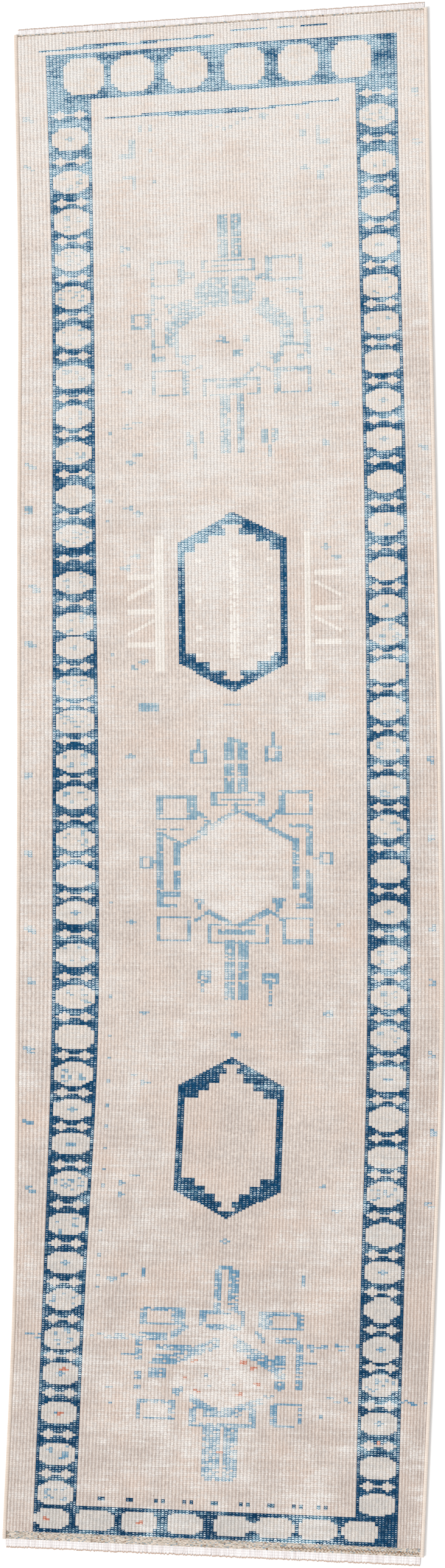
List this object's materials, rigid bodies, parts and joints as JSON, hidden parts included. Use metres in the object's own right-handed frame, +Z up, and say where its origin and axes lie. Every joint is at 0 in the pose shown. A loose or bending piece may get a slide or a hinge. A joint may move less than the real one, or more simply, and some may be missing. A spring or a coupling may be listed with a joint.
{
  "type": "runner rug",
  "caption": "Long narrow hand-knotted wool rug with hooked medallions, a chained octagon border, wrapped selvedges and short cut fringes, folding over at its middle.",
  "frame": {"origin": "on the floor under the middle of the rug", "axes": "+X across the rug, +Y along it towards the end with the plain pinstriped guard, +Z up from the floor"},
  "size_m": [0.8258, 2.9313, 0.007],
  "materials": {
    "camel_wool": "short worn wool pile in undyed camel, matt",
    "cream_wool": "short worn wool pile in cream, matt",
    "ivory_wool": "short worn wool pile in ivory, matt",
    "indigo_wool": "short worn wool pile dyed with indigo, uneven, matt",
    "pale_blue_wool": "short worn wool pile in faded blue, matt",
    "rust_wool": "short worn wool pile in faded rust, matt",
    "tan_wool": "plied wool stitching yarn, matt",
    "selvedge_wool": "plied wool wrapped round the side cords, matt",
    "cotton_warp": "plied cotton warp cord",
    "cotton_weft": "soft cotton weft",
    "cotton_core": "bundled cotton cord inside the selvedge",
    "cotton_fringe": "cut ends of the cotton warps",
    "end_web": "flat-woven end web of cotton and mixed wool",
    "knotted_back": "back of the knots with cotton wefts between the rows"
  },
  "bodies": {
    "lower_half": {"border_bow_ties_lower": "cream_wool", "field_dots": "pale_blue_wool", "field_lower": "camel_wool", "field_marks_lower": "pale_blue_wool", "guard_marks_lower": "pale_blue_wool", "knotted_back_lower": "knotted_back", "left_border_lower": "indigo_wool", "left_border_octagons_lower": "cream_wool", "left_guard_lower": "camel_wool", "left_selvedge_core_lower": "cotton_core", "left_selvedge_wrapping_lower": "selvedge_wool", "low_border": "indigo_wool", "low_border_octagons": "cream_wool", "low_end_stitching": "tan_wool", "low_end_web": "end_web", "low_fringe": "cotton_fringe", "low_medallion": "pale_blue_wool", "lower_ring": "indigo_wool", "middle_medallion_lower": "pale_blue_wool", "right_border_lower": "indigo_wool", "right_border_octagons_lower": "cream_wool", "right_guard_lower": "camel_wool", "right_selvedge_core_lower": "cotton_core", "right_selvedge_wrapping_lower": "selvedge_wool", "rust_marks": "rust_wool", "warp_cords_lower": "cotton_warp", "weft_cords_lower": "cotton_weft"},
    "upper_half": {"border_bow_ties_upper": "cream_wool", "field_marks_upper": "pale_blue_wool", "field_pinstripe": "indigo_wool", "field_upper": "camel_wool", "guard_marks_upper": "pale_blue_wool", "ivory_frame": "ivory_wool", "knotted_back_upper": "knotted_back", "left_border_octagons_upper": "cream_wool", "left_border_upper": "indigo_wool", "left_guard_upper": "camel_wool", "left_selvedge_core_upper": "cotton_core", "left_selvedge_wrapping_upper": "selvedge_wool", "middle_medallion_upper": "pale_blue_wool", "right_border_octagons_upper": "cream_wool", "right_border_upper": "indigo_wool", "right_guard_upper": "camel_wool", "right_selvedge_core_upper": "cotton_core", "right_selvedge_wrapping_upper": "selvedge_wool", "top_border": "indigo_wool", "top_border_octagons": "cream_wool", "top_end_web": "end_web", "top_fringe": "cotton_fringe", "top_guard": "camel_wool", "top_medallion": "pale_blue_wool", "top_pinstripe": "indigo_wool", "upper_ring": "indigo_wool", "warp_cords_upper": "cotton_warp", "weft_cords_upper": "cotton_weft"}
  },
  "joints": [
    {"name": "half_fold", "type": "hinge", "parent": "lower_half", "child": "upper_half", "pos_m": [0, 0, 0.009], "axis": [1, 0, 0], "range_deg": [0, 180]}
  ]
}
